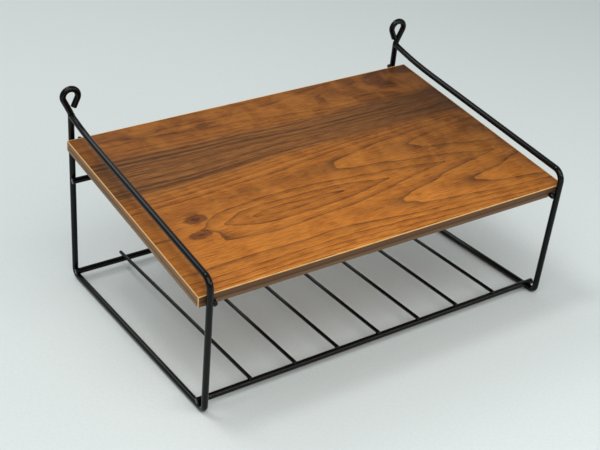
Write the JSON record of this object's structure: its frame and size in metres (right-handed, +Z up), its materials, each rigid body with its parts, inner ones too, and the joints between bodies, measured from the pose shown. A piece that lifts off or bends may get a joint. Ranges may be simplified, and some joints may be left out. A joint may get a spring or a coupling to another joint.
{
  "type": "wire desk shelf",
  "caption": "Two-tier wire shelf: a sloping wooden board over a rack of thin bars, held between two bent-rod side frames with hanging eyes at the top rear.",
  "frame": {"origin": "On the surface the shelf stands on, under the centre of its overall box.", "axes": "+X to the shelf's right across its width, +Y towards the wall, +Z up. The front faces -Y."},
  "size_m": [0.4224, 0.3212, 0.2318],
  "materials": {
    "black_paint": "gloss",
    "walnut_veneer": "satin lacquer",
    "band_wood": "satin lacquer",
    "core_wood": "raw"
  },
  "bodies": {
    "root": {"left_side_frame": "black_paint", "right_side_frame": "black_paint", "rack_front_rail": "black_paint", "rack_rear_rail": "black_paint", "rear_brace_rod": "black_paint", "left_board_bearer": "black_paint", "right_board_bearer": "black_paint", "rack_bar_1": "black_paint", "rack_bar_2": "black_paint", "rack_bar_3": "black_paint", "rack_bar_4": "black_paint", "rack_bar_5": "black_paint", "rack_bar_6": "black_paint", "rack_bar_7": "black_paint", "board_core": "core_wood", "board_top_veneer": "walnut_veneer", "board_bottom_veneer": "walnut_veneer", "front_edge_band": "band_wood", "rear_edge_band": "band_wood", "left_edge_band": "band_wood", "right_edge_band": "band_wood"}
  },
  "joints": []
}
